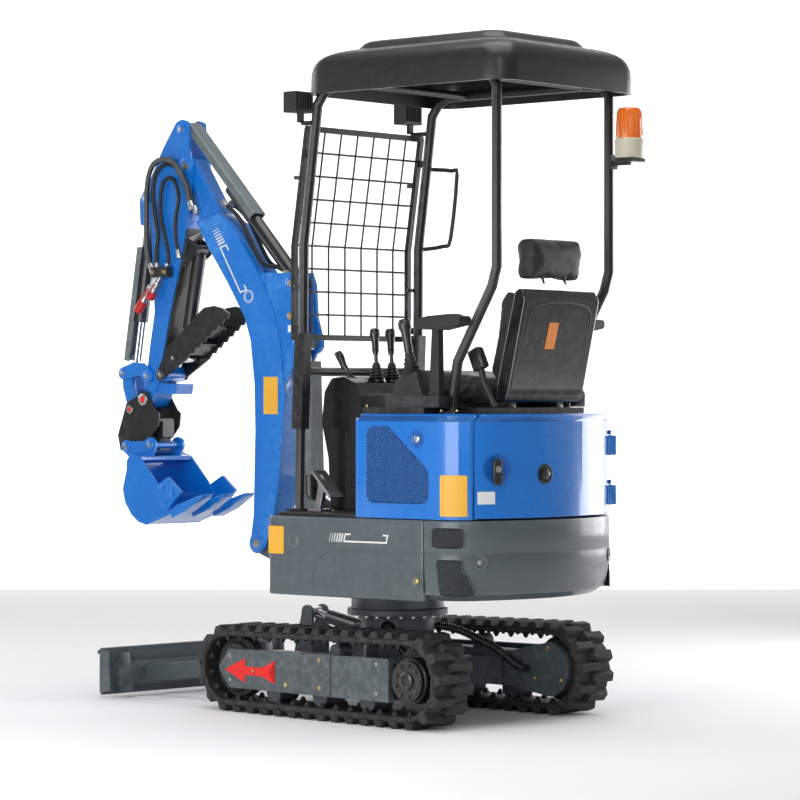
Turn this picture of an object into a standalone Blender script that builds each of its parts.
"""Mini excavator on rubber tracks, with a canopy, a working arm, a thumb and a dozer blade.

Metres, +Z up. The machine's front faces -Y and its left side is +X. The ground is z = 0.
The upper structure is drawn square to the axes, around the slew axis, and the undercarriage
stands turned under it by UNDERCARRIAGE_YAW. A cylinder lies in the plane x = 0 of its own body.
"""

import math

import bmesh
import bpy
from mathutils import Matrix, Vector

# ---------------------------------------------------------------- driving sizes
MODEL_AT = Vector((0.0187, 0.2570, 0.0))  # the slew axis, from the middle of the machine's box
GAP = 0.0006  # between pieces that touch
SIDE_GAP = 0.003  # beside a link that turns between two plates
PLATE = 0.010  # thickness of a structural side plate

# undercarriage, around the middle of the tracks
UNDERCARRIAGE_YAW = math.radians(-4.6)
SLEW_AHEAD = 0.030  # the slew axis lies this far in front of the track middle
TRACK_GAUGE = 0.705
TRACK_WIDTH = 0.180
TRACK_LENGTH = 1.170
BELT_THICK = 0.020
LUG_HEIGHT = 0.022
LUG_COUNT = 37
LUG_FOOT = 0.042
LUG_CREST = 0.028
FRONT_BEND = 0.1325  # outer radius of the belt round the idler
REAR_BEND = 0.140  # and round the sprocket
WHEEL_GAP = 0.006  # between the belt's inside and the wheels
FRAME_BEAM = (0.085, 0.222)  # bottom and top of the side frame
FRAME_FRONT, FRAME_REAR = -0.500, 0.358
BEAM_INNER = 0.066  # inside of the side frame's beam, from the track's middle
MOTOR_INNER = 0.088  # inside of the travel motor's housing
SIDE_COVER = 0.026  # thickness of the side frame's outer plate
ROLLER_RADIUS = 0.036
PEDESTAL_RADIUS = 0.130
RING_RADIUS = 0.178
RING_BOTTOM, RING_TOP = 0.345, 0.388

# dozer blade
BLADE_WIDTH = 0.880
BLADE_BACK = -1.118
BLADE_HEIGHT = 0.186
BLADE_PIVOT = (-0.300, 0.165)
BLADE_ROD_PIN = (-0.455, 0.330)
BLADE_BARREL_PIN = (-0.196, 0.285)

# house
HOUSE_HALF = 0.430
HOUSE_FRONT = -0.235
TAIL_RADIUS = 0.756
HOUSE_BOTTOM, HOUSE_TOP = 0.427, 0.700
HOUSE_WALL = 0.022
WEIGHT_FRONT = 0.484  # seam between the side panels and the counterweight
WEIGHT_WALL = 0.110
DECK = 0.712  # top of the floor mat
HOOD_FRONT, HOOD_TOP = 0.165, 1.055
HOOD_INSET = 0.006
HOOD_WALL = 0.018
DOOR_SEAM = 0.648
DOOR_GAP = 0.006
DOOR_HINGE = (-0.394, 0.641)
DOOR_HINGE_HEIGHTS = (0.770, 0.943)
KNUCKLE_HALF = 0.036
KNUCKLE_RADIUS = 0.006
PANEL_GAP = 0.003

# canopy
POST_HALF = 0.310
POST_RADIUS = 0.0175
ROOF_HALF = 0.385
ROOF_FRONT, ROOF_REAR = -0.1133, 0.785
ROOF_RIM, ROOF_TOP = 2.160, 2.385
RAIL_HEIGHT = 2.194  # centre of the tubes under the roof

# operator's place
SEAT_PLATE_TOP = 1.076
LEVER_AT, ARMREST_AT = 0.355, 0.370  # from the middle to the joysticks and to the armrests
STAND_TOP = ((0.325, 1.165), (0.420, 1.200))  # sloping top of the joysticks' stands, as (y, z)

# working arm, side view points as (y, z)
BOOM_HALF = 0.054
BOOM_TIP_HALF = 0.034
ARM_HALF = 0.050
BOOM_PIVOT = (-0.632, 0.577)
ARM_PIVOT = (-0.999, 1.974)
BUCKET_PIVOT = (-1.215, 1.102)
BOOM_BARREL_PIN = (-0.410, 0.722)
BOOM_ROD_PIN = (-0.430, 1.305)
ARM_BARREL_PIN = (-0.468, 1.523)
ARM_ROD_PIN = (-1.022, 2.112)
BUCKET_BARREL_PIN = (-1.212, 1.862)
ROCKER_PIVOT = (-1.193, 1.189)
ROCKER_PIN = (-1.322, 1.202)
LINK_PIN = (-1.285, 1.064)
THUMB_PIVOT = (-1.118, 1.194)
THUMB_ROD_PIN = (-1.052, 1.257)
THUMB_BARREL_PIN = (-0.972, 1.660)
BUCKET_PIN_REAR = (-1.160, 0.930)
BUCKET_PIN_FRONT = (-1.288, 0.922)
BUCKET_PIN_RADIUS = 0.0135
BUCKET_HALF = 0.140
BUCKET_WALL = 0.008
BUCKET_BACK = [(-1.202, 0.900), (-1.222, 0.868), (-1.222, 0.838), (-1.242, 0.765), (-1.230, 0.715),
               (-1.196, 0.670), (-1.160, 0.645), (-1.118, 0.634)]
NOSE_HALF = 0.021  # inside of the nose plates that carry the boom
CLEVIS_THICK = 0.012
ROD_RADIUS = 0.0125

# each cylinder's eyes: half width and radius at the base, then at the rod
BLADE_EYES = ((0.028, 0.020), (0.028, 0.020))
BOOM_EYES = ((0.031, 0.026), (0.033, 0.024))
ARM_EYES = ((0.033, 0.026), (0.034, 0.022))
BUCKET_EYES = ((0.030, 0.022), (0.022, 0.019))
THUMB_EYES = ((0.028, 0.020), (0.046, 0.018))

COVER_HALF = ARM_HALF + SIDE_GAP + PLATE  # outside of rocker, thumb and coupler plates

# ---------------------------------------------------------------- scene helpers
bpy.context.scene.unit_settings.scale_length = 1.0
for old in list(bpy.data.objects):
    bpy.data.objects.remove(old, do_unlink=True)
parts = bpy.data.collections.new("mini_excavator")
bpy.context.scene.collection.children.link(parts)


def make_material(name, colour, roughness, metallic=0.0):
    made = bpy.data.materials.new(name)
    made.use_nodes = True
    shader = made.node_tree.nodes["Principled BSDF"]
    shader.inputs["Base Color"].default_value = (*colour, 1.0)
    shader.inputs["Roughness"].default_value = roughness
    shader.inputs["Metallic"].default_value = metallic
    return made


BLUE = make_material("blue_paint", (0.0, 0.18, 0.62), 0.35)
SLATE = make_material("slate_paint", (0.08, 0.105, 0.12), 0.4)
GUARD = make_material("guard_grey", (0.30, 0.34, 0.35), 0.45)
BLACK = make_material("black_paint", (0.012, 0.012, 0.013), 0.4)
PLASTIC = make_material("black_plastic", (0.015, 0.015, 0.016), 0.6)
RUBBER = make_material("rubber", (0.012, 0.012, 0.012), 0.8)
VINYL = make_material("vinyl", (0.012, 0.012, 0.012), 0.55)
STEEL = make_material("rod_steel", (0.6, 0.6, 0.62), 0.2, 1.0)
IRON = make_material("cast_iron", (0.12, 0.12, 0.12), 0.5, 0.6)
ORANGE = make_material("beacon_orange", (0.9, 0.2, 0.02), 0.25)

empties = {}


def make_body(name, at=(0.0, 0.0, 0.0), parent="machine", yaw=0.0):
    """An empty on the body's joint axis, at a point of its parent's own coordinates."""
    empty = bpy.data.objects.new("body_" + name, None)
    parts.objects.link(empty)
    carrier = empties.get(parent)
    empty.parent = carrier
    empty.location = Vector(at) - Vector(carrier["drawn_at"] if carrier else (0.0, 0.0, 0.0))
    empty.rotation_euler = (0.0, 0.0, yaw)
    empty["drawn_at"] = at if name != "machine" and yaw == 0.0 else (0.0, 0.0, 0.0)
    empties[name] = empty


def add_node(name, obj, material, body):
    """Names a finished mesh and hangs it on its body's empty."""
    obj.name = name
    obj.data.name = name
    obj.data.materials.clear()
    obj.data.materials.append(material)
    obj.data.transform(Matrix.Translation(-Vector(empties[body]["drawn_at"])))
    obj.parent = empties[body]
    obj.data.shade_smooth()
    obj.data.set_sharp_from_angle(angle=math.radians(35))
    return obj


def object_from(mesh):
    obj = bpy.data.objects.new("piece", mesh)
    parts.objects.link(obj)
    return obj


def object_from_bmesh(shape):
    mesh = bpy.data.meshes.new("piece")
    shape.to_mesh(mesh)
    shape.free()
    return object_from(mesh)


def applied(obj):
    """The object with its modifiers applied, or a curve turned into a welded mesh."""
    bpy.context.view_layer.update()
    graph = bpy.context.evaluated_depsgraph_get()
    mesh = bpy.data.meshes.new_from_object(obj.evaluated_get(graph))
    mesh.transform(obj.matrix_world)
    shape = bmesh.new()
    shape.from_mesh(mesh)
    bmesh.ops.remove_doubles(shape, verts=shape.verts, dist=0.00002)
    bmesh.ops.recalc_face_normals(shape, faces=shape.faces)
    shape.to_mesh(mesh)
    shape.free()
    bpy.data.objects.remove(obj, do_unlink=True)
    return object_from(mesh)


def combine(first, others, operation="UNION"):
    """One mesh from a first piece and others joined to it, or cut from it, one after another."""
    for other in others:
        boolean = first.modifiers.new("boolean", "BOOLEAN")
        boolean.operation = operation
        boolean.solver = "EXACT"
        boolean.object = other
        first = applied(first)
        bpy.data.objects.remove(other, do_unlink=True)
    return first


def box(low, high):
    shape = bmesh.new()
    bmesh.ops.create_cube(shape, size=1.0)
    low, high = Vector(low), Vector(high)
    size = high - low
    shape.transform(Matrix.Translation((low + high) / 2) @ Matrix.Diagonal((*size, 1.0)))
    return object_from_bmesh(shape)


def cylinder(start, end, radius, end_radius=None, sides=20):
    start, end = Vector(start), Vector(end)
    along = end - start
    shape = bmesh.new()
    bmesh.ops.create_cone(
        shape, cap_ends=True, segments=sides, depth=along.length,
        radius1=radius, radius2=radius if end_radius is None else end_radius,
    )
    turn = along.to_track_quat("Z", "Y").to_matrix().to_4x4()
    shape.transform(Matrix.Translation((start + end) / 2) @ turn)
    return object_from_bmesh(shape)


def pin(at, half, radius, sides=20):
    """A cylinder across the machine, at a side-view point."""
    return cylinder((-half, *at), (half, *at), radius, sides=sides)


AXES = {
    "X": Matrix(((0, 0, 1, 0), (1, 0, 0, 0), (0, 1, 0, 0), (0, 0, 0, 1))),
    "Y": Matrix(((1, 0, 0, 0), (0, 0, -1, 0), (0, 1, 0, 0), (0, 0, 0, 1))),
    "Z": Matrix.Identity(4),
}


def slab(outlines, low, high, axis="X"):
    """A flat outline (or several, the later ones being holes) given thickness along an axis."""
    if isinstance(outlines[0][0], (int, float)):
        outlines = [outlines]
    curve = bpy.data.curves.new("outline", "CURVE")
    curve.dimensions = "2D"
    curve.fill_mode = "BOTH"
    curve.extrude = abs(high - low) / 2
    for outline in outlines:
        spline = curve.splines.new("POLY")
        spline.points.add(len(outline) - 1)
        for point, (across, up) in zip(spline.points, outline):
            point.co = (across, up, 0.0, 1.0)
        spline.use_cyclic_u = True
    obj = bpy.data.objects.new("outline", curve)
    parts.objects.link(obj)
    middle = (low + high) / 2
    obj.matrix_world = AXES[axis] @ Matrix.Translation((0, 0, middle if axis != "Y" else -middle))
    return applied(obj)


def pair(outline, inner, outer):
    """The same side plate on the left and on the right."""
    return [slab(outline, inner, outer), slab(outline, -outer, -inner)]


def rounded(outline, radius, steps=3):
    """An outline with its corners turned into arcs. A radius list gives one for each corner."""
    radii = radius if isinstance(radius, (list, tuple)) else [radius] * len(outline)
    points = []
    for index, corner in enumerate(outline):
        corner = Vector(corner)
        before = Vector(outline[index - 1]) - corner
        after = Vector(outline[(index + 1) % len(outline)]) - corner
        half_angle = before.angle(after) / 2
        if radii[index] <= 0 or half_angle > math.radians(85):
            points.append(tuple(corner))
            continue
        reach = min(radii[index] / math.tan(half_angle), before.length * 0.45, after.length * 0.45)
        size = reach * math.tan(half_angle)
        centre = corner + (before.normalized() + after.normalized()).normalized() * (
            size / math.sin(half_angle)
        )
        start = corner + before.normalized() * reach - centre
        end = corner + after.normalized() * reach - centre
        turn = start.angle_signed(end)
        for step in range(steps + 1):
            angle = -turn * step / steps
            points.append(tuple(centre + Matrix.Rotation(angle, 2) @ start))
    return points


def arc(centre, radius, first, last, steps):
    """Points along an arc, in degrees."""
    for step in range(steps + 1):
        angle = math.radians(first + (last - first) * step / steps)
        yield (centre[0] + radius * math.cos(angle), centre[1] + radius * math.sin(angle))


def smooth_path(points, per_span=5):
    """A smooth curve through a route's own points."""
    padded = [Vector(points[0]), *[Vector(p) for p in points], Vector(points[-1])]
    path = []
    for before, start, end, after in zip(padded, padded[1:], padded[2:], padded[3:]):
        for step in range(per_span):
            t = step / per_span
            path.append(
                0.5 * (2 * start + (end - before) * t
                       + (2 * before - 5 * start + 4 * end - after) * t * t
                       + (3 * start - before - 3 * end + after) * t ** 3)
            )
    return [*path, Vector(points[-1])]


def pipe(points, radius, resolution=2):
    """A round bar or a hose along a list of points."""
    curve = bpy.data.curves.new("pipe", "CURVE")
    curve.dimensions = "3D"
    curve.bevel_depth = radius
    curve.bevel_resolution = resolution
    curve.use_fill_caps = True
    spline = curve.splines.new("POLY")
    spline.points.add(len(points) - 1)
    for point, at in zip(spline.points, points):
        point.co = (*at, 1.0)
    obj = bpy.data.objects.new("pipe", curve)
    parts.objects.link(obj)
    return applied(obj)


def bar_between(start, end, width, height):
    """A rectangular bar between two points, its height in the upright plane."""
    start, end = Vector(start), Vector(end)
    along = end - start
    shape = bmesh.new()
    bmesh.ops.create_cube(shape, size=1.0)
    turn = along.to_track_quat("Y", "Z").to_matrix().to_4x4()
    size = Matrix.Diagonal((width, along.length, height, 1.0))
    shape.transform(Matrix.Translation((start + end) / 2) @ turn @ size)
    return object_from_bmesh(shape)


# ---------------------------------------------------------------- bodies
def make_bodies():
    make_body("machine", MODEL_AT, parent=None)
    make_body("upper")
    make_body("undercarriage", Matrix.Rotation(UNDERCARRIAGE_YAW, 4, "Z") @ Vector((0, SLEW_AHEAD, 0)),
              yaw=UNDERCARRIAGE_YAW)
    make_body("blade", (0.0, *BLADE_PIVOT), "undercarriage")
    make_body("blade_barrel", (0.0, *BLADE_BARREL_PIN), "undercarriage")
    make_body("blade_rod", (0.0, *BLADE_BARREL_PIN), "blade_barrel")
    make_body("rear_door", (*DOOR_HINGE, HOUSE_TOP), "upper")
    make_body("boom", (0.0, *BOOM_PIVOT), "upper")
    make_body("boom_barrel", (0.0, *BOOM_BARREL_PIN), "upper")
    make_body("boom_rod", (0.0, *BOOM_BARREL_PIN), "boom_barrel")
    make_body("arm", (0.0, *ARM_PIVOT), "boom")
    make_body("arm_barrel", (0.0, *ARM_BARREL_PIN), "boom")
    make_body("arm_rod", (0.0, *ARM_BARREL_PIN), "arm_barrel")
    make_body("bucket", (0.0, *BUCKET_PIVOT), "arm")
    make_body("bucket_barrel", (0.0, *BUCKET_BARREL_PIN), "arm")
    make_body("bucket_rod", (0.0, *BUCKET_BARREL_PIN), "bucket_barrel")
    make_body("rocker", (0.0, *ROCKER_PIVOT), "arm")
    make_body("link", (0.0, *ROCKER_PIN), "rocker")
    make_body("thumb", (0.0, *THUMB_PIVOT), "arm")
    make_body("thumb_barrel", (0.0, *THUMB_BARREL_PIN), "arm")
    make_body("thumb_rod", (0.0, *THUMB_BARREL_PIN), "thumb_barrel")


# ---------------------------------------------------------------- tracks
IDLER_AT = (-TRACK_LENGTH / 2 + FRONT_BEND, LUG_HEIGHT + FRONT_BEND)
SPROCKET_AT = (TRACK_LENGTH / 2 - REAR_BEND, LUG_HEIGHT + REAR_BEND)


def belt_runs():
    """The belt's outer line: bottom run, rear bend, top run and front bend."""
    span = SPROCKET_AT[0] - IDLER_AT[0]
    tilt = 2 * math.atan2(REAR_BEND - FRONT_BEND, span)
    top = math.hypot(span, REAR_BEND - FRONT_BEND) * math.cos(tilt / 2)
    return span, tilt, REAR_BEND * (math.pi + tilt), top, FRONT_BEND * (math.pi - tilt)


def belt_point(distance, offset):
    """The point at a distance along the belt, standing out from its outer line by an offset."""
    span, tilt, rear, top, front = belt_runs()
    distance %= span + rear + top + front
    if distance < span:
        return IDLER_AT[0] + distance, LUG_HEIGHT - offset
    distance -= span
    if distance < rear:
        angle = -math.pi / 2 + distance / REAR_BEND
        reach = REAR_BEND + offset
        return SPROCKET_AT[0] + reach * math.cos(angle), SPROCKET_AT[1] + reach * math.sin(angle)
    distance -= rear
    out = Vector((-math.sin(tilt), math.cos(tilt)))
    if distance < top:
        start = Vector(SPROCKET_AT) + out * (REAR_BEND + offset)
        return tuple(start - Vector((math.cos(tilt), math.sin(tilt))) * distance)
    angle = math.pi / 2 + tilt + (distance - top) / FRONT_BEND
    reach = FRONT_BEND + offset
    return IDLER_AT[0] + reach * math.cos(angle), IDLER_AT[1] + reach * math.sin(angle)


def make_track(side, name):
    length = sum(belt_runs()) - belt_runs()[1]
    outer = []
    for lug in range(LUG_COUNT):
        middle = length * (lug + 0.5) / LUG_COUNT
        outer.append(belt_point(middle - LUG_FOOT / 2, 0.0))
        outer.append(belt_point(middle - LUG_CREST / 2, LUG_HEIGHT))
        outer.append(belt_point(middle + LUG_CREST / 2, LUG_HEIGHT))
        outer.append(belt_point(middle + LUG_FOOT / 2, 0.0))
    inner = [belt_point(length * step / LUG_COUNT, -BELT_THICK) for step in range(LUG_COUNT)]
    low, high = side * TRACK_GAUGE / 2 - TRACK_WIDTH / 2, side * TRACK_GAUGE / 2 + TRACK_WIDTH / 2
    add_node(name, slab([outer, inner], low, high), RUBBER, "undercarriage")


def across(side, near, far):
    """Low and high x on one side, from distances inward and outward of the track's middle."""
    middle = side * TRACK_GAUGE / 2
    return sorted((middle + side * near, middle + side * far))


def side_cylinder(side, at, near, far, radius, sides=20):
    low, high = across(side, near, far)
    return cylinder((low, *at), (high, *at), radius, sides=sides)


def make_side_frame(side, name):
    """Box beam with its outer cover, inner motor housing and track rollers."""
    bottom, top = FRAME_BEAM
    outer = TRACK_WIDTH / 2 - 0.014
    cover = [(FRAME_FRONT, 0.155), (FRAME_FRONT + 0.055, top), (FRAME_REAR, top + 0.010),
             (FRAME_REAR, bottom), (FRAME_FRONT + 0.055, bottom)]
    beam_front = IDLER_AT[0] + FRONT_BEND - 0.012
    beam_rear = SPROCKET_AT[0] - REAR_BEND + BELT_THICK
    beam = box((across(side, -BEAM_INNER, 0)[0], beam_front, bottom + 0.004),
               (across(side, -BEAM_INNER, 0)[1], beam_rear, top - 0.006))
    pieces = [slab(cover, *across(side, outer - SIDE_COVER, outer))]
    pieces.append(box((across(side, -0.010, outer - 0.01)[0], beam_front, bottom + 0.008),
                      (across(side, -0.010, outer - 0.01)[1], beam_rear - 0.004, top - 0.010)))
    housing = [*arc(SPROCKET_AT, REAR_BEND - BELT_THICK - 0.022, -80, 80, 9),
               (0.24, top - 0.012), (0.24, bottom + 0.010)]
    pieces.append(slab(housing, *across(side, -MOTOR_INNER, -0.030)))
    for index in range(3):
        at = (-0.245 + index * 0.235, LUG_HEIGHT + BELT_THICK + GAP + ROLLER_RADIUS)
        pieces.append(side_cylinder(side, at, -0.045, 0.045, ROLLER_RADIUS, 16))
    carrier = (0.05, LUG_HEIGHT + 2 * FRONT_BEND - BELT_THICK - 0.031)
    pieces.append(side_cylinder(side, carrier, -0.03, 0.03, 0.027, 12))
    add_node(name, combine(beam, pieces), SLATE, "undercarriage")


def make_wheels(side, label):
    """The front idler between its frame's plates, and the sprocket with its hub."""
    radius = FRONT_BEND - BELT_THICK - WHEEL_GAP
    idler = side_cylinder(side, IDLER_AT, -0.022, 0.022, radius, 32)
    cover = TRACK_WIDTH / 2 - 0.014 - SIDE_COVER
    flanges = [side_cylinder(side, IDLER_AT, -0.042, 0.042, radius * 0.80, 24),
               side_cylinder(side, IDLER_AT, -0.056, cover - GAP, 0.026, 16)]
    add_node("idler_" + label, combine(idler, flanges), IRON, "undercarriage")
    radius = REAR_BEND - BELT_THICK - WHEEL_GAP
    sprocket = side_cylinder(side, SPROCKET_AT, -0.013, 0.013, radius, 32)
    hub = [side_cylinder(side, SPROCKET_AT, -0.030 + GAP, 0.060, 0.078, 32),
           side_cylinder(side, SPROCKET_AT, 0.055, 0.076, 0.070, 32)]
    add_node("sprocket_" + label, combine(sprocket, hub), BLACK, "undercarriage")


# ---------------------------------------------------------------- undercarriage centre
def make_chassis():
    """Centre box, four legs, hose-holed pedestal, slew ring and the blade's lugs."""
    reach = TRACK_GAUGE / 2 - BEAM_INNER - GAP
    quarter = [(0.125, 0.045), (0.145, 0.105), (reach, 0.135), (reach, 0.232), (0.165, 0.195),
               (0.095, 0.185)]
    legs = [*quarter, *[(-x, y) for x, y in reversed(quarter)],
            *[(-x, -y) for x, y in quarter], *[(x, -y) for x, y in reversed(quarter)]]
    body = slab(legs, 0.098, 0.196, "Z")
    centre = (0.0, -SLEW_AHEAD)
    pieces = [box((-0.12, -0.215, 0.11), (0.12, 0.155, 0.245)),
              cylinder((*centre, 0.17), (*centre, RING_BOTTOM + 0.01), PEDESTAL_RADIUS, sides=40),
              cylinder((*centre, RING_BOTTOM), (*centre, RING_BOTTOM + 0.021), RING_RADIUS, sides=48)]
    for side in (-1, 1):
        ear = rounded([(-0.18, 0.12), (-0.18, 0.21), (-0.33, 0.19), (-0.33, 0.135)], 0.02)
        low, high = sorted((side * 0.105, side * 0.119))
        pieces.append(slab(ear, low, high))
        inner = BLADE_EYES[0][0] + SIDE_GAP
        low, high = sorted((side * inner, side * (inner + CLEVIS_THICK)))
        base = BLADE_BARREL_PIN
        pieces.append(slab([(-0.14, 0.20), (-0.14, base[1]), *arc(base, 0.022, 60, 240, 6),
                            (base[0] - 0.010, 0.20)], low, high))
    body = combine(body, pieces)
    holes = []
    for side in (-1, 1):
        aim = Vector((side * 0.86, 0.5, 0.0))
        start = Vector((*centre, 0.300))
        holes.append(cylinder(start + aim * 0.06, start + aim * 0.2, 0.028, sides=20))
    add_node("chassis", combine(body, holes, "DIFFERENCE"), SLATE, "undercarriage")


def make_travel_hoses(side, name):
    """Hose bundle from the pedestal's side hole, over the rear leg, to the travel motor."""
    route = [(side * 0.080, 0.016, 0.300), (side * 0.135, 0.050, 0.298), (side * 0.180, 0.110, 0.282),
             (side * 0.205, 0.185, 0.250), (side * 0.220, 0.250, 0.222), (side * 0.232, 0.315, 0.178),
             (side * 0.246, 0.350, 0.160), (side * (TRACK_GAUGE / 2 - MOTOR_INNER - GAP), 0.350, 0.160)]
    path = [*smooth_path(route[:-1], 3), Vector(route[-1])]
    add_node(name, pipe(path, 0.013, 1), RUBBER, "undercarriage")


def make_blade():
    """Curved blade with its back box, two arms, the pivot tubes and the cylinder's ears."""
    back, top = BLADE_BACK, BLADE_HEIGHT
    face = [(back - 0.026, 0.012), (back - 0.018, 0.07), (back - 0.020, 0.12), (back - 0.032, 0.160),
            (back - 0.046, 0.166), (back - 0.042, 0.174), (back - 0.018, top), (back + 0.004, top),
            (back - 0.006, 0.13), (back - 0.006, 0.07), (back - 0.016, 0.012)]
    half = BLADE_WIDTH / 2
    plate = slab(face, -half, half)
    box_back = slab([(back - 0.012, 0.045), (back - 0.012, 0.125), (back + 0.036, 0.125),
                     (back + 0.036, 0.045)], -half + 0.055, half - 0.055)
    pieces = [box_back]
    pivot_y, pivot_z = BLADE_PIVOT
    for side in (-1, 1):
        low, high = sorted((side * (half - 0.10), side * (half - 0.065)))
        pieces.append(slab([(back - 0.012, 0.02), (back - 0.01, 0.17), (back + 0.02, 0.165),
                            (back + 0.045, 0.02)], low, high))
        start = (side * 0.148, pivot_y, pivot_z)
        end = (side * 0.250, back + 0.01, 0.085)
        pieces.append(bar_between(start, end, 0.040, 0.062))
        low, high = sorted((side * (0.119 + 0.002), side * 0.172))
        pieces.append(cylinder((low, *BLADE_PIVOT), (high, *BLADE_PIVOT), 0.034))
        inner = BLADE_EYES[1][0] + SIDE_GAP
        low, high = sorted((side * inner, side * (inner + CLEVIS_THICK)))
        foot = (BLADE_ROD_PIN[0] - 0.085, 0.115), (BLADE_ROD_PIN[0] + 0.030, 0.140)
        pieces.append(slab([foot[0], foot[1], *arc(BLADE_ROD_PIN, 0.028, -10, 190, 7)], low, high))
    cross_y = BLADE_ROD_PIN[0] - 0.025
    pieces.append(box((-0.17, cross_y - 0.055, 0.110), (0.17, cross_y + 0.042, 0.160)))
    add_node("dozer_blade", combine(plate, pieces), SLATE, "blade")


# ---------------------------------------------------------------- hydraulic cylinders
def channel(start, end, out, half, depth, wall):
    """A channel-section bar whose open side faces away from a direction."""
    along = (end - start).normalized()
    section = [(-half, -depth), (-half, -0.006), (-half + 0.006, 0.0), (half - 0.006, 0.0),
               (half, -0.006), (half, -depth), (half - wall, -depth), (half - wall, -0.007),
               (half - wall - 0.004, -wall), (wall + 0.004 - half, -wall), (wall - half, -0.007),
               (wall - half, -depth)]
    shape = bmesh.new()
    loops = []
    for point in (start, end):
        loops.append([shape.verts.new(point + Vector((x, 0, 0)) + out * high) for x, high in section])
    for index in range(len(section)):
        after = (index + 1) % len(section)
        shape.faces.new((loops[0][index], loops[0][after], loops[1][after], loops[1][index]))
    shape.faces.new(loops[0][::-1])
    shape.faces.new(loops[1])
    bmesh.ops.recalc_face_normals(shape, faces=shape.faces)
    bmesh.ops.triangulate(shape, faces=shape.faces)
    return object_from_bmesh(shape)


def make_cylinder(name, start, end, barrel, closes, eyes, guard=None):
    """A barrel on its base eye, and a rod with its eye and, on some, a channel-shaped guard.

    barrel is its length and radius, and closes how far the rod goes in from here. eyes are
    (half width, radius) at the base and at the rod. guard is the side it lies on, its near and
    far distance from the rod's eye, and half its width.
    """
    start, end = Vector((0.0, *start)), Vector((0.0, *end))
    along = (end - start).normalized()
    barrel_length, barrel_radius = barrel
    mouth = start + along * barrel_length
    tube = cylinder(start + along * eyes[0][1] * 0.6, mouth, barrel_radius, sides=20)
    eye = pin((start.y, start.z), *eyes[0], 16)
    tube = combine(tube, [eye])
    bore = cylinder(start + along * 0.050, mouth + along * 0.02, ROD_RADIUS + 0.002, sides=12)
    body = name + "_barrel"
    add_node(name + "_cylinder_barrel", combine(tube, [bore], "DIFFERENCE"), BLACK, body)
    rod = cylinder(start + along * (0.054 + closes), end, ROD_RADIUS, sides=12)
    pieces = [pin((end.y, end.z), *eyes[1], 16)]
    if guard:
        side, near, far, half = guard
        out = Vector((0.0, along.z, -along.y)) * side
        high = barrel_radius + 0.010
        pieces.append(channel(end - along * near + out * high, end - along * far + out * high,
                              out, half, barrel_radius + 0.004, 0.004))
        tab = end - along * (near + 0.014)
        pieces.append(bar_between(tab, tab + out * (high - 0.002), 0.026, 0.020))
    add_node(name + "_cylinder_rod", combine(rod, pieces), GUARD if guard else STEEL, name + "_rod")


# ---------------------------------------------------------------- house
def house_outline(inset=0.0, front=HOUSE_FRONT, rear_steps=14):
    """The house from above: straight sides, rounded rear corners and a tail about the slew axis."""
    half, tail = HOUSE_HALF - inset, TAIL_RADIUS - inset
    blend = 0.150 - inset
    centre_x = half - blend
    centre_y = math.sqrt((tail - blend) ** 2 - centre_x ** 2)
    turn = math.degrees(math.atan2(centre_y, centre_x))
    right = list(arc((centre_x, centre_y), blend, 0, turn, 4))
    tail_arc = list(arc((0, 0), tail, turn, 180 - turn, rear_steps))[1:-1]
    left = [(-x, y) for x, y in reversed(right)]
    return [(-half, front), (half, front), *right, *tail_arc, *left]


def front_corners(outline, radius=0.030):
    """The same outline with its two front corners rounded."""
    return rounded(outline, [radius, radius] + [0] * (len(outline) - 2), 4)


def make_platform():
    """Base plate, deck, web plates and the nose that carries the boom."""
    inside = HOUSE_WALL + 0.004
    base = slab(front_corners(house_outline(inside, HOUSE_FRONT + inside)), HOUSE_BOTTOM + 0.004,
                HOUSE_BOTTOM + 0.024, "Z")
    nose_low = 0.455
    nose = [(-0.10, nose_low), (-0.10, HOUSE_TOP - 0.018), (-0.330, HOUSE_TOP - 0.018),
            (-0.47, 0.650), (BOOM_PIVOT[0] + 0.03, 0.640), *arc(BOOM_PIVOT, 0.040, 60, 270, 8),
            (-0.40, nose_low)]
    lug = [(-0.30, 0.560), (-0.30, HOUSE_TOP - 0.022), (-0.350, 0.730),
           *arc(BOOM_BARREL_PIN, 0.036, 50, 200, 6), (-0.450, 0.560)]
    lug_inner = BOOM_EYES[0][0] + 0.0025
    pieces = pair(nose, NOSE_HALF, NOSE_HALF + 0.017)
    pieces.extend(pair(lug, lug_inner, lug_inner + CLEVIS_THICK))
    pieces.append(box((-NOSE_HALF - 0.01, -0.36, nose_low + 0.02), (NOSE_HALF + 0.01, -0.14, 0.66)))
    pieces.append(box((-NOSE_HALF - 0.01, BOOM_PIVOT[0] + 0.055, nose_low + 0.01),
                      (NOSE_HALF + 0.01, -0.35, 0.52)))
    deck = slab([(-HOUSE_HALF + inside, HOUSE_FRONT + inside), (HOUSE_HALF - inside, HOUSE_FRONT + inside),
                 (HOUSE_HALF - inside, HOOD_FRONT + 0.03), (-HOUSE_HALF + inside, HOOD_FRONT + 0.03)],
                HOUSE_TOP - 0.020, HOUSE_TOP - GAP, "Z")
    pieces.append(deck)
    for x in (-0.20, 0.20):
        pieces.append(box((x - 0.006, HOUSE_FRONT + 0.05, HOUSE_BOTTOM + 0.015),
                          (x + 0.006, 0.19, HOUSE_TOP - 0.010)))
    pieces.append(pin(BOOM_PIVOT, NOSE_HALF + 0.016, 0.030))
    ring_top = (0, 0, HOUSE_BOTTOM + 0.012)
    pieces.append(cylinder((0, 0, RING_BOTTOM + 0.0225), ring_top, RING_RADIUS - 0.014, sides=48))
    add_node("platform", combine(base, pieces), SLATE, "upper")


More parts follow.
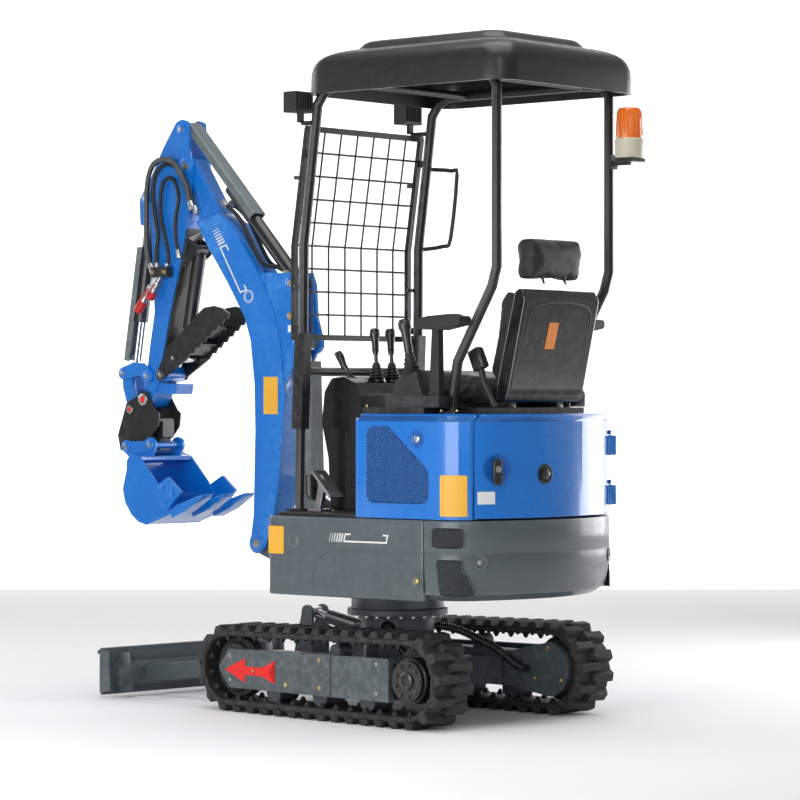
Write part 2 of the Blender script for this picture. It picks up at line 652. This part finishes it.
def make_floor_mat():
    half = HOUSE_HALF - 0.030
    outline = rounded([(-half, HOUSE_FRONT + 0.020), (half, HOUSE_FRONT + 0.020),
                       (half, HOOD_FRONT - 0.012), (-half, HOOD_FRONT - 0.012)], 0.02)
    add_node("floor_mat", slab(outline, HOUSE_TOP, DECK, "Z"), RUBBER, "upper")


def make_side_panels():
    """The pressed grey panels along the two sides and round the front corners."""
    full = front_corners(house_outline())
    hollow = house_outline(HOUSE_WALL, HOUSE_FRONT + HOUSE_WALL)
    for side, label in ((1, "left"), (-1, "right")):
        shell = slab(full, HOUSE_BOTTOM, HOUSE_TOP, "Z")
        core = slab(hollow, HOUSE_BOTTOM - 0.1, HOUSE_TOP + 0.1, "Z")
        rear = box((-1, WEIGHT_FRONT - PANEL_GAP / 2, 0), (1, 2, 2))
        low, high = sorted((side * 0.16, side * -1.0))
        other = box((low, -1, 0), (high, 2, 2))
        shell = combine(shell, [core, rear, other], "DIFFERENCE")
        add_node("side_panel_" + label, shell, SLATE, "upper")


def make_counterweight():
    """Thick cast tail, open at the front and drawn in towards its foot."""
    shell = slab(house_outline(), HOUSE_BOTTOM + 0.045, HOUSE_TOP, "Z")
    steps = ((0.010, 0.022, 0.050), (0.032, 0.008, 0.024), (0.062, 0.0, 0.010))
    skirts = [slab(house_outline(inset), HOUSE_BOTTOM + low, HOUSE_BOTTOM + high, "Z")
              for inset, low, high in steps]
    core = slab(house_outline(WEIGHT_WALL, 0.0), HOUSE_BOTTOM - 0.1, HOUSE_TOP + 0.1, "Z")
    floor = slab(house_outline(HOUSE_WALL, 0.0), HOUSE_BOTTOM - 0.1, HOUSE_BOTTOM + 0.0244, "Z")
    front = box((-1, -1, 0), (1, WEIGHT_FRONT + PANEL_GAP / 2, 2))
    shell = combine(shell, skirts[:1])
    add_node("counterweight", combine(shell, [core, floor, front], "DIFFERENCE"), SLATE, "upper")
    for skirt in skirts[1:]:
        bpy.data.objects.remove(skirt, do_unlink=True)


def hood_shell(bottom):
    """The whole engine cover before the rear door is split off it."""
    outer = slab(rounded(house_outline(HOOD_INSET, HOOD_FRONT), [0.02, 0.02] + [0] * 40, 3),
                 bottom, HOOD_TOP - 0.014, "Z")
    crown = slab(rounded(house_outline(HOOD_INSET + 0.012, HOOD_FRONT + 0.012), [0.02, 0.02] + [0] * 40, 3),
                 HOOD_TOP - 0.016, HOOD_TOP, "Z")
    core = slab(house_outline(HOOD_INSET + HOOD_WALL, HOOD_FRONT + HOOD_WALL), bottom - 0.1,
                HOOD_TOP - HOOD_WALL, "Z")
    return combine(combine(outer, [crown]), [core], "DIFFERENCE")


def make_hood():
    bottom = HOUSE_TOP + PANEL_GAP
    hinge_x, hinge_y = DOOR_HINGE
    cut = box((-1, DOOR_SEAM - DOOR_GAP / 2, 0), (1, 2, 2))
    hood = combine(hood_shell(bottom), [cut], "DIFFERENCE")
    knuckles = []
    for z in DOOR_HINGE_HEIGHTS:
        low, high = z + KNUCKLE_HALF + 0.0015, z + KNUCKLE_HALF + 0.0165
        knuckles.append(cylinder((hinge_x, hinge_y, low), (hinge_x, hinge_y, high), KNUCKLE_RADIUS, sides=12))
        knuckles.append(box((hinge_x - 0.005, hinge_y - 0.034, low + 0.001),
                            (hinge_x + 0.024, hinge_y, high - 0.001)))
    add_node("engine_hood", combine(hood, knuckles), BLUE, "upper")
    cut = box((-1, -1, 0), (1, DOOR_SEAM + DOOR_GAP / 2, 2))
    door = combine(hood_shell(bottom + 0.004), [cut], "DIFFERENCE")
    leaves = []
    for z in DOOR_HINGE_HEIGHTS:
        leaf = box((hinge_x - 0.004, hinge_y + 0.0004, z - KNUCKLE_HALF + 0.002),
                   (hinge_x + 0.004, hinge_y + 0.026, z + KNUCKLE_HALF - 0.002))
        arm = box((hinge_x + 0.001, hinge_y + 0.018, z - KNUCKLE_HALF + 0.003),
                  (hinge_x + 0.044, hinge_y + 0.025, z + KNUCKLE_HALF - 0.003))
        leaves += [leaf, arm, cylinder((hinge_x, hinge_y, z - KNUCKLE_HALF),
                                       (hinge_x, hinge_y, z + KNUCKLE_HALF), KNUCKLE_RADIUS, sides=12)]
    add_node("rear_door", combine(door, leaves), BLUE, "rear_door")


def make_engine():
    block = box((-0.20, 0.24, HOUSE_BOTTOM + 0.045), (0.20, 0.59, 0.93))
    feet = [box((x - 0.02, y - 0.02, HOUSE_BOTTOM + 0.0246), (x + 0.02, y + 0.02, HOUSE_BOTTOM + 0.05))
            for x in (-0.15, 0.15) for y in (0.29, 0.54)]
    add_node("engine_block", combine(block, feet), IRON, "upper")


# ---------------------------------------------------------------- canopy
FRONT_POST = [(-0.184, DECK + 0.001), (-0.180, 0.990), (-0.168, 1.320), (-0.166, 1.645),
              (-0.100, 2.130), (-0.070, 2.170), (-0.020, RAIL_HEIGHT), (0.050, RAIL_HEIGHT)]
REAR_POST = [(0.511, HOOD_TOP + 0.0006), (0.511, 1.120), (0.533, 1.232), (0.680, 1.480),
             (0.700, 1.545), (0.700, 2.150), (0.670, 2.187), (0.600, RAIL_HEIGHT)]


def post_front(height):
    """The y of a front post's forward side at a height."""
    for (y0, z0), (y1, z1) in zip(FRONT_POST, FRONT_POST[1:]):
        if z0 <= height <= z1:
            return y0 + (y1 - y0) * (height - z0) / (z1 - z0) - POST_RADIUS * 1.02
    return FRONT_POST[-1][0]


def make_canopy_frame():
    """Four bent posts with their feet, roof rails, cross tubes and the dash tube."""
    first = None
    pieces = []
    for side in (-1, 1):
        for route in (FRONT_POST, REAR_POST):
            points = [(side * POST_HALF, y, z) for y, z in route]
            post = pipe(points, POST_RADIUS)
            if first is None:
                first = post
            else:
                pieces.append(post)
            foot = route[0]
            pieces.append(box((side * POST_HALF - 0.034, foot[0] - 0.034, foot[1]),
                              (side * POST_HALF + 0.034, foot[0] + 0.034, foot[1] + 0.008)))
        pieces.append(cylinder((side * POST_HALF, 0.04, RAIL_HEIGHT),
                               (side * POST_HALF, 0.61, RAIL_HEIGHT), 0.016, sides=12))
        strut = [(-0.206, 1.000), (-0.192, 1.335), (-0.146, 1.335), (-0.160, 1.000)]
        low, high = sorted((side * POST_HALF - 0.020, side * POST_HALF + 0.020))
        pieces.append(slab(strut, low, high))
    for y in (0.060, 0.590):
        pieces.append(cylinder((-POST_HALF, y, RAIL_HEIGHT), (POST_HALF, y, RAIL_HEIGHT), 0.014, sides=12))
    pieces.append(pipe([(-POST_HALF, -0.172, 1.200), (POST_HALF, -0.172, 1.200)], 0.016))
    add_node("canopy_frame", combine(first, pieces), BLACK, "upper")


def make_roof():
    """Moulded roof: a tall skirt, a rounded shoulder and a raised middle, hollow beneath."""
    rings = ((0.000, 0.0, 0.085), (0.001, 0.080, 0.085), (0.010, 0.114, 0.088), (0.032, 0.140, 0.095),
             (0.090, 0.158, 0.100), (0.118, 0.163, 0.090), (0.142, 0.190, 0.080),
             (0.185, ROOF_TOP - ROOF_RIM, 0.060))
    shape = bmesh.new()
    loops = []
    for inset, rise, corner in rings:
        half = ROOF_HALF - inset
        front, rear = ROOF_FRONT + inset, ROOF_REAR - inset
        outline = rounded([(-half, front), (half, front), (half, rear), (-half, rear)], corner, 5)
        loops.append([shape.verts.new((x, y, ROOF_RIM + rise)) for x, y in outline])
    for lower, upper in zip(loops, loops[1:]):
        for index in range(len(lower)):
            after = (index + 1) % len(lower)
            shape.faces.new((lower[index], lower[after], upper[after], upper[index]))
    shape.faces.new(loops[-1])
    bmesh.ops.recalc_face_normals(shape, faces=shape.faces)
    roof = object_from_bmesh(shape)
    solidify = roof.modifiers.new("wall", "SOLIDIFY")
    solidify.thickness = 0.012
    solidify.offset = -1.0
    add_node("canopy_roof", applied(roof), PLASTIC, "upper")


def guard_point(x, z):
    """The point of the front guard's bent plane at a height."""
    y = -0.214 if z < 1.640 else -0.214 + (z - 1.640) * 0.155
    return (x, y, z)


def make_front_guard():
    """Flat-bar frame, bent once, with its wire grid and the lugs that hold it to the posts."""
    half = POST_HALF - 0.004
    heights = (1.322, 1.640, 2.050)
    pieces = []
    for side in (-1, 1):
        for low, high in zip(heights, heights[1:]):
            start = Vector(guard_point(side * half, low - 0.004))
            bar = bar_between(start, guard_point(side * half, high + 0.003), 0.020, 0.016)
            pieces.append(bar)
    for z in (heights[0], heights[2]):
        low = Vector(guard_point(-half - 0.006, z)) - Vector((0, 0.0085, 0.010))
        pieces.append(box(low, Vector(guard_point(half + 0.006, z)) + Vector((0, 0.0085, 0.010))))
    for index in range(1, 9):
        z = heights[0] + (heights[2] - heights[0]) * index / 9
        low = Vector(guard_point(-half, z)) - Vector((0, 0.0035, 0.0035))
        pieces.append(box(low, Vector(guard_point(half, z)) + Vector((0, 0.0035, 0.0035))))
    for side in (-1, 1):
        for z in (1.352, 1.960):
            low, high = sorted((side * (half - 0.006), side * (half + 0.014)))
            pieces.append(box((low, guard_point(0, z)[1], z - 0.012),
                              (high, post_front(z - 0.012) - GAP, z + 0.012)))
    frame = pieces.pop()
    add_node("front_guard", combine(frame, pieces), BLACK, "upper")


def make_grab_handle():
    x = -POST_HALF
    route = [(x - 0.0172, -0.118, 1.940), (x - 0.075, -0.070, 1.936), (x - 0.088, -0.056, 1.918),
             (x - 0.088, -0.086, 1.690), (x - 0.075, -0.110, 1.662), (x - 0.0172, -0.158, 1.650)]
    add_node("grab_handle", pipe(smooth_path(route, 3), 0.0075), BLACK, "upper")


def make_work_light(side, name):
    """Lamp housing on a bent bracket at the head of a front post."""
    x = side * POST_HALF + 0.022
    y = -0.165 if side > 0 else -0.190
    lamp = box((x - 0.050, y - 0.042, 2.105), (x + 0.040, y + 0.018, 2.178))
    bracket = [box((x - 0.012, y - 0.004, 2.070), (x + 0.012, y + 0.010, 2.112)),
               box((side * POST_HALF - 0.012, y - 0.004, 2.062),
                   (side * POST_HALF + 0.012, -0.1268, 2.076))]
    add_node(name, combine(lamp, bracket), BLACK, "upper")


def make_beacon():
    """Orange dome on its cream base and bracket, off the right rear post."""
    x, y = -POST_HALF, 0.700 + 0.088
    dome = cylinder((x, y, 2.000), (x, y, 2.112), 0.046, 0.040, 24)
    pieces = [cylinder((x, y, 1.935), (x, y, 2.004), 0.050, sides=24),
              box((x - 0.040, y - 0.030, 1.924), (x + 0.040, y + 0.040, 1.938)),
              box((x - 0.012, 0.7172, 1.915), (x + 0.012, y, 1.930)),
              box((x - 0.020, 0.7172, 1.900), (x + 0.020, 0.7242, 1.950))]
    add_node("beacon", combine(dome, pieces), ORANGE, "upper")


# ---------------------------------------------------------------- operator's place
def make_console():
    """Moulded front console under the travel levers."""
    half = 0.200
    side_view = rounded([(0.000, DECK + 0.0006), (0.000, 1.120), (-0.020, 1.160), (-0.080, 1.183),
                         (-0.134, 1.178), (-0.168, 1.130), (-0.180, 1.020), (-0.150, 0.900),
                         (-0.138, DECK + 0.0006)], 0.02, 2)
    add_node("front_console", combine(slab(side_view, -half, half), travel_levers()), PLASTIC, "upper")


def travel_levers():
    """The two travel levers and the small lever, each in its boot."""
    pieces = []
    for x in (-0.042, 0.042):
        pieces.append(cylinder((x, -0.060, 1.165), (x, -0.060, 1.222), 0.034, 0.012, 16))
        pieces.append(cylinder((x, -0.060, 1.215), (x, -0.066, 1.275), 0.007, sides=10))
        pieces.append(cylinder((x, -0.066, 1.262), (x, -0.070, 1.352), 0.011, 0.017, 12))
    pieces.append(cylinder((0.150, -0.075, 1.150), (0.150, -0.120, 1.215), 0.005, sides=10))
    pieces.append(cylinder((0.150, -0.116, 1.210), (0.150, -0.150, 1.268), 0.010, 0.014, 12))
    return pieces


def make_side_console(side, label):
    """Console beside the seat: armrest post and pad, and the tilted stand of the joystick."""
    lever, rest = side * LEVER_AT, side * ARMREST_AT
    base = box((lever - 0.045, 0.290, SEAT_PLATE_TOP + GAP), (lever + 0.045, 0.462, 1.118))
    bracket = box((rest - 0.034, 0.450, SEAT_PLATE_TOP + 0.001), (rest + 0.031, 0.525, 1.116))
    stand = slab([(0.315, 1.09), *STAND_TOP, (0.455, 1.09)], lever - 0.038, lever + 0.038)
    post = slab([(0.466, 1.10), (0.480, 1.345), (0.508, 1.345), (0.512, 1.10)], rest - 0.013, rest + 0.013)
    pad = slab(rounded([(0.415, 1.340), (0.415, 1.372), (0.480, 1.384), (0.615, 1.382), (0.615, 1.352),
                        (0.520, 1.335)], 0.012, 3), rest - 0.030, rest + 0.030)
    add_node("side_console_" + label, combine(base, [bracket, stand, post, pad]), PLASTIC, "upper")


def make_joystick(side, label):
    """Ribbed boot and grip of a control lever."""
    x = side * LEVER_AT
    low, high = Vector((x, *STAND_TOP[0])), Vector((x, *STAND_TOP[1]))
    up = (high - low).cross(Vector((-1.0, 0.0, 0.0))).normalized()
    up = up if up.z > 0 else -up
    foot = low.lerp(high, 0.48) + up * GAP
    top = foot + up * 0.072
    boot = cylinder(foot, top, 0.034, 0.017, 20)
    grip = [cylinder(top - Vector((0, 0, 0.006)), (x, 0.339, 1.345), 0.014, 0.017, 14),
            cylinder((x, 0.340, 1.335), (x, 0.335, 1.372), 0.019, 0.015, 14)]
    add_node("joystick_" + label, combine(boot, grip), PLASTIC, "upper")


def make_pedal():
    """Foot rest on its hinged stalk, left of the console."""
    x = 0.300
    tread = slab([(-0.110, 0.850), (-0.104, 0.856), (-0.020, 0.766), (-0.026, 0.760)], x - 0.035, x + 0.035)
    stem = [(-0.088, 0.842), (-0.064, 0.812), (-0.095, DECK + 0.004), (-0.120, DECK + 0.004)]
    stalk = [slab(stem, x - 0.010, x + 0.010),
             box((x - 0.030, -0.130, DECK + 0.0006), (x + 0.030, -0.070, DECK + 0.010))]
    add_node("foot_pedal", combine(tread, stalk), STEEL, "upper")


def make_seat():
    """Mounting plate with rails, cushion, back shell, back cushion and headrest."""
    plate = box((-0.405, 0.190, HOOD_TOP + 0.0006), (0.405, 0.462, SEAT_PLATE_TOP))
    rear = box((-0.26, 0.455, HOOD_TOP + 0.0006), (0.26, 0.630, SEAT_PLATE_TOP))
    rails = [box((x - 0.018, 0.235, 1.070), (x + 0.018, 0.625, 1.094)) for x in (-0.13, 0.13)]
    add_node("seat_mounting", combine(plate, [rear, *rails]), BLACK, "upper")
    half = 0.205
    cushion = rounded([(0.215, 1.0945), (0.200, 1.160), (0.225, 1.205), (0.330, 1.195), (0.565, 1.170),
                       (0.600, 1.135), (0.590, 1.0945)], 0.025, 3)
    add_node("seat_cushion", slab(cushion, -half, half), VINYL, "upper")
    back = [(0.574, 1.190), (0.603, 1.150), (0.612, 1.150), (0.690, 1.462), (0.650, 1.478), (0.622, 1.440)]
    add_node("seat_back", slab(rounded(back, 0.012, 2), -half + 0.006, half - 0.006), VINYL, "upper")
    shell = rounded([(0.6135, 1.0945), (0.6129, 1.149), (0.6909, 1.465), (0.716, 1.480), (0.740, 1.440),
                     (0.672, 1.140), (0.655, 1.0945)], 0.012, 2)
    add_node("seat_shell", slab(shell, -half, half), PLASTIC, "upper")
    head = rounded([(0.640, 1.505), (0.632, 1.630), (0.655, 1.652), (0.715, 1.655), (0.732, 1.600),
                    (0.712, 1.505)], 0.022, 3)
    stems = [cylinder((x, 0.704, 1.4745), (x, 0.700, 1.52), 0.007, sides=10) for x in (-0.062, 0.062)]
    add_node("headrest", combine(slab(head, -0.138, 0.138), stems), VINYL, "upper")


# ---------------------------------------------------------------- boom
def make_boom():
    """Box boom: side profile, narrow tip, cylinder ears, foot fork and hose slot."""
    lower = [(-0.668, 0.560), (-0.648, 0.680), (-0.640, 0.990), (-0.644, 1.160), (-0.664, 1.320),
             (-0.694, 1.405), (-0.784, 1.539), (-0.884, 1.672), (-0.942, 1.766), (-0.834, 1.792),
             (-0.753, 1.738), (-0.630, 1.571), (-0.557, 1.447), (-0.517, 1.319), (-0.492, 1.111),
             (-0.500, 1.028), (-0.524, 0.799), (-0.556, 0.649), (-0.592, 0.560)]
    body = slab(lower, -BOOM_HALF, BOOM_HALF)
    tip = [(-0.935, 1.752), (-1.034, 1.955), *arc(ARM_PIVOT, 0.036, 200, 30, 8), (-0.826, 1.780),
           (-0.850, 1.740)]
    ears = [(-0.640, 1.540), (-0.606, 1.566), (-0.500, 1.562), (-0.446, 1.564), (-0.428, 1.520),
            (-0.420, 1.400), (-0.402, 1.345), *arc(BOOM_ROD_PIN, 0.038, 20, -80, 5), (-0.480, 1.180),
            (-0.530, 1.120)]
    ear_inner = ARM_EYES[0][0] + SIDE_GAP
    pieces = [slab(tip, -BOOM_TIP_HALF, BOOM_TIP_HALF), pin(BOOM_PIVOT, BOOM_HALF, 0.038),
              *pair(ears, ear_inner, ear_inner + 0.014)]
    body = combine(body, pieces)
    fork_half = NOSE_HALF + 0.017 + SIDE_GAP
    fork = slab([(-0.720, 0.480), (-0.720, 0.690), (-0.520, 0.690), (-0.480, 0.480)], -fork_half, fork_half)
    window = slab([(-0.478, 1.600), (-0.520, 1.500), (-0.505, 1.400), (-0.470, 1.200), (-0.300, 1.200),
                   (-0.300, 1.650)], -ear_inner, ear_inner)
    add_node("boom", combine(body, [fork, window], "DIFFERENCE"), BLUE, "boom")


# ---------------------------------------------------------------- arm
def make_arm():
    """Ear plates round the boom's tip, and the box below them down to the bucket's pivot."""
    ears = [(-1.020, 2.150), (-0.990, 2.140), (-0.984, 2.030), (-0.968, 1.985), (-0.968, 1.940),
            (-0.983, 1.847), (-0.992, 1.760), (-1.240, 1.760), (-1.245, 1.860),
            (-1.226, 1.885), (-1.186, 1.935), (-1.120, 2.045), (-1.050, 2.140)]
    box_part = [(-1.190, 1.800), (-1.175, 1.600), (-1.165, 1.430), (-1.190, 1.300), (-1.214, 1.150),
                *arc(BUCKET_PIVOT, 0.034, 190, 340, 7), (-1.150, 1.150), (-1.128, 1.239),
                (-1.078, 1.447), (-1.027, 1.618), (-0.999, 1.740), (-0.995, 1.800)]
    inner = BOOM_TIP_HALF + SIDE_GAP
    body = slab(box_part, -ARM_HALF + 0.0008, ARM_HALF - 0.0008)
    head = [(-1.175, 1.770), (-1.170, 1.870), (-1.080, 1.850), (-1.020, 1.790)]
    pieces = [*pair(rounded(ears, 0.012, 2), inner, ARM_HALF),
              slab(head, -ARM_HALF + 0.004, ARM_HALF - 0.004),
              pin(ROCKER_PIVOT, ARM_HALF + 0.0004, 0.026), pin(THUMB_PIVOT, ARM_HALF + 0.0004, 0.020)]
    pieces.append(slab([(-1.155, 1.232), (-1.108, 1.224), (-1.100, 1.170), (-1.155, 1.166)], -0.046, 0.046))
    pieces.append(slab([(-1.160, 1.166), (-1.050, 1.160), (-1.058, 1.122), (-1.163, 1.124)], -0.044, 0.044))
    body = combine(body, pieces)
    nest = slab([(-1.300, 1.980), (-1.182, 1.960), (-1.182, 1.750), (-1.196, 1.700), (-1.300, 1.700)],
                -BUCKET_EYES[0][0] - SIDE_GAP, BUCKET_EYES[0][0] + SIDE_GAP)
    add_node("arm", combine(body, [nest], "DIFFERENCE"), BLUE, "arm")


def make_thumb_bracket():
    """Black channel on the arm's rear face with the thumb's two pivots."""
    face = [(-0.999, 1.740), (-1.027, 1.618), (-1.078, 1.447), (-1.128, 1.239)]
    off = 0.0008
    rear = [(y + off + 0.006, z) for y, z in face]
    strip = [(y + off, z) for y, z in face] + rear[::-1]
    plate = slab(strip, -ARM_HALF + 0.004, ARM_HALF - 0.004)
    base = THUMB_BARREL_PIN
    inner = THUMB_EYES[0][0] + SIDE_GAP
    clevis = [(-1.0265, 1.600), (-1.0025, 1.705), *arc(base, 0.026, 60, -60, 5)]
    pieces = pair(clevis, inner, inner + PLATE)
    add_node("thumb_bracket", combine(plate, pieces), BLACK, "arm")


def make_hose_set():
    """Valve block on the arm's left side, its two couplers and the hoses that reach up to the boom."""
    x = ARM_HALF + 0.020
    block = box((ARM_HALF - 0.0003, -1.150, 1.560), (ARM_HALF + 0.038, -1.065, 1.600))
    guarded = [(x + 0.012, -1.148, 1.590), (x + 0.016, -1.182, 1.640), (x + 0.020, -1.196, 1.760),
               (x + 0.022, -1.185, 1.880), (x + 0.024, -1.135, 1.965), (x + 0.024, -1.070, 1.985),
               (x + 0.022, -1.010, 1.930), (x + 0.018, -0.965, 1.850), (x + 0.014, -0.945, 1.815)]
    plain = [(x, -1.085, 1.592), (x + 0.004, -1.090, 1.650), (x + 0.006, -1.115, 1.790),
             (x + 0.007, -1.118, 1.870), (x + 0.008, -1.085, 1.905), (x + 0.007, -1.052, 1.870),
             (x + 0.004, -1.062, 1.780), (x + 0.002, -1.072, 1.660)]
    pieces = [pipe(smooth_path(guarded, 4), 0.011, 1), pipe(smooth_path(plain, 3), 0.0065, 1)]
    for start, end in (((x, -1.110, 1.575), (x + 0.018, -1.160, 1.480)),
                       ((x, -1.130, 1.570), (x + 0.030, -1.215, 1.425))):
        pieces.append(cylinder(start, end, 0.013, sides=12))
    add_node("arm_hose_set", combine(block, pieces), RUBBER, "arm")


def make_rocker():
    """The two curved side links between the arm and the bucket cylinder's rod."""
    outline = [*arc(ROCKER_PIN, 0.024, 130, 270, 5), (-1.283, 1.184), (-1.244, 1.192), (-1.212, 1.182),
               *arc(ROCKER_PIVOT, 0.026, 250, 420, 6), (-1.212, 1.239), (-1.264, 1.243)]
    inner = ARM_HALF + SIDE_GAP
    plates = pair(outline, inner, inner + PLATE)
    bridge = pin((-1.252, 1.217), inner + 0.004, 0.013, 12)
    add_node("rocker_links", combine(plates[0], [plates[1], bridge]), BLUE, "rocker")


def make_bucket_link():
    """Curved link pair from the rocker's pin down to the coupler."""
    outline = [*arc(ROCKER_PIN, 0.022, 45, 180, 5), (-1.340, 1.147), (-1.322, 1.095),
               *arc(LINK_PIN, 0.020, 200, 380, 6), (-1.290, 1.147), (-1.292, 1.184)]
    inner, outer = BUCKET_EYES[1][0] + SIDE_GAP, ARM_HALF - 0.006
    plates = pair(outline, inner, outer)
    bridge = pin((-1.318, 1.128), inner + 0.004, 0.012, 12)
    add_node("bucket_link", combine(plates[0], [plates[1], bridge]), BLUE, "link")


# ---------------------------------------------------------------- coupler, bucket and thumb
def make_coupler():
    """Quick coupler: two profiled plates, their spreaders and the hook under each bucket pin."""
    outline = [(-1.305, 1.086), (-1.292, 1.096), (-1.240, 1.116), *arc(BUCKET_PIVOT, 0.034, 120, 10, 5),
               (-1.150, 1.062), (-1.132, 1.050), (-1.138, 1.000), (-1.176, 0.958), (-1.219, 0.936),
               (-1.290, 0.905), (-1.336, 0.908), (-1.351, 0.967), (-1.324, 1.037)]
    inner = ARM_HALF + SIDE_GAP
    plates = pair(outline, inner, inner + 0.008)
    floor = slab([(-1.320, 0.975), (-1.315, 1.005), (-1.230, 1.010), (-1.150, 1.030), (-1.150, 1.000),
                  (-1.222, 0.970)], -inner - 0.002, inner + 0.002)
    clamp = slab([(-1.320, 0.985), (-1.318, 0.948), (-1.262, 0.948), (-1.222, 0.965), (-1.225, 0.985)],
                 -0.030, 0.030)
    hook = slab([(-1.190, 0.990), (-1.190, 0.912), (-1.158, 0.912), (-1.158, 0.955), (-1.140, 0.960),
                 (-1.140, 1.020)], -0.030, 0.030)
    coupler = combine(plates[0], [floor, clamp, hook, plates[1]])
    seats = [pin(at, 0.2, BUCKET_PIN_RADIUS + 0.0006, 16) for at in (BUCKET_PIN_REAR, BUCKET_PIN_FRONT)]
    add_node("quick_coupler", combine(coupler, seats, "DIFFERENCE"), BLACK, "bucket")


def make_bucket():
    """Bucket: rolled back, lip, side plates with cutters, teeth, and the ears for its two pins."""
    half = BUCKET_HALF
    inside = [(-1.190, 0.892), (-1.212, 0.862), (-1.213, 0.838), (-1.232, 0.765), (-1.220, 0.720),
              (-1.190, 0.677), (-1.156, 0.653), (-1.116, 0.643)]
    roll = BUCKET_BACK + [(-1.005, 0.672), (-0.950, 0.706), (-0.955, 0.716), (-1.008, 0.683)] + inside[::-1]
    back = slab(roll, 0.003 - half, half - 0.003)
    middle = Vector((-1.09, 0.78))
    rim = [tuple(middle + (Vector(p) - middle) * 1.008) for p in BUCKET_BACK]
    side_plate = rim + [(-1.012, 0.674), (-0.992, 0.690), (-1.064, 0.792), (-1.158, 0.890)]
    cutter = [(-1.075, 0.770), (-0.994, 0.814), (-0.926, 0.760), (-1.000, 0.690), (-1.040, 0.700)]
    pieces = [*pair(side_plate, half - BUCKET_WALL, half), *pair(cutter, half - 0.002, half + 0.012)]
    beam = [(-1.207, 0.868), (-1.199, 0.896), (-1.150, 0.888), (-1.150, 0.874), (-1.190, 0.864)]
    pieces.append(slab(beam, 0.005 - half, half - 0.005))
    for x in (-0.112, 0.0, 0.112):
        tooth = [(-0.997, 0.684), (-0.945, 0.716), (-0.826, 0.752), (-0.832, 0.742), (-0.905, 0.694),
                 (-0.985, 0.662)]
        pieces.append(slab(tooth, x - 0.026, x + 0.026))
    inner = COVER_HALF + 0.0035
    ears = [*arc(BUCKET_PIN_REAR, 0.030, -40, 120, 6), (-1.190, 0.945), (-1.240, 0.9435),
            *arc(BUCKET_PIN_FRONT, 0.026, 60, 200, 6), (-1.250, 0.868), (-1.208, 0.855), (-1.150, 0.885)]
    pieces.extend(pair(ears, inner, inner + 0.012))
    pieces.append(pin(BUCKET_PIN_REAR, inner + 0.002, BUCKET_PIN_RADIUS, 16))
    pieces.append(pin(BUCKET_PIN_FRONT, inner + 0.002, BUCKET_PIN_RADIUS, 16))
    add_node("bucket", combine(back, pieces), BLUE, "bucket")


def make_thumb():
    """Two toothed claws on one pivot, with their cross plate and the rod's cross bar."""
    top = [(-1.140, 1.192), *arc(THUMB_PIVOT, 0.026, 250, 130, 5), (-1.083, 1.301), (-0.981, 1.373),
           (-0.931, 1.417), (-0.893, 1.443), (-0.843, 1.449), (-0.800, 1.439), (-0.766, 1.419)]
    teeth = []
    start, end = Vector((-0.781, 1.406)), Vector((-0.985, 1.262))
    count = 7
    for index in range(count):
        at = start.lerp(end, index / count)
        after = start.lerp(end, (index + 0.35) / count)
        teeth += [tuple(at + Vector((0.006, -0.008))), tuple(after)]
    outline = top[1:] + teeth + [(-0.981, 1.255), (-1.019, 1.233)]
    inner = ARM_HALF + SIDE_GAP
    plates = pair(outline, inner, inner + PLATE)
    cross = slab([(-0.965, 1.345), (-0.955, 1.353), (-0.865, 1.375), (-0.868, 1.363), (-0.950, 1.315)],
                 -inner - 0.004, inner + 0.004)
    bar = slab([(-0.985, 1.268), (-0.972, 1.284), (-0.940, 1.318), (-0.930, 1.308)],
               -inner - 0.004, inner + 0.004)
    add_node("thumb", combine(plates[0], [plates[1], cross, bar]), BLACK, "thumb")


# ---------------------------------------------------------------- the whole machine
def main():
    make_bodies()
    for side, label in ((1, "left"), (-1, "right")):
        make_track(side, "track_" + label)
        make_side_frame(side, "side_frame_" + label)
        make_wheels(side, label)
        make_travel_hoses(side, "travel_hoses_" + label)
        make_work_light(side, "work_light_" + label)
        make_side_console(side, label)
        make_joystick(side, label)
    make_chassis()
    make_blade()
    make_platform()
    make_floor_mat()
    make_side_panels()
    make_counterweight()
    make_hood()
    make_engine()
    make_canopy_frame()
    make_roof()
    make_front_guard()
    make_grab_handle()
    make_beacon()
    make_console()
    make_pedal()
    make_seat()
    make_boom()
    make_arm()
    make_thumb_bracket()
    make_hose_set()
    make_rocker()
    make_bucket_link()
    make_coupler()
    make_bucket()
    make_thumb()
    make_cylinder("blade", BLADE_BARREL_PIN, BLADE_ROD_PIN, (0.185, 0.026), 0.045, BLADE_EYES)
    make_cylinder("boom", BOOM_BARREL_PIN, BOOM_ROD_PIN, (0.430, 0.029), 0.036, BOOM_EYES,
                  (1, 0.065, 0.475, 0.034))
    make_cylinder("arm", ARM_BARREL_PIN, ARM_ROD_PIN, (0.500, 0.027), 0.162, ARM_EYES,
                  (1, 0.0, 0.480, 0.033))
    make_cylinder("bucket", BUCKET_BARREL_PIN, ROCKER_PIN, (0.470, 0.028), 0.100, BUCKET_EYES,
                  (1, 0.045, 0.480, 0.033))
    make_cylinder("thumb", THUMB_BARREL_PIN, THUMB_ROD_PIN, (0.300, 0.025), 0.002, THUMB_EYES)


main()
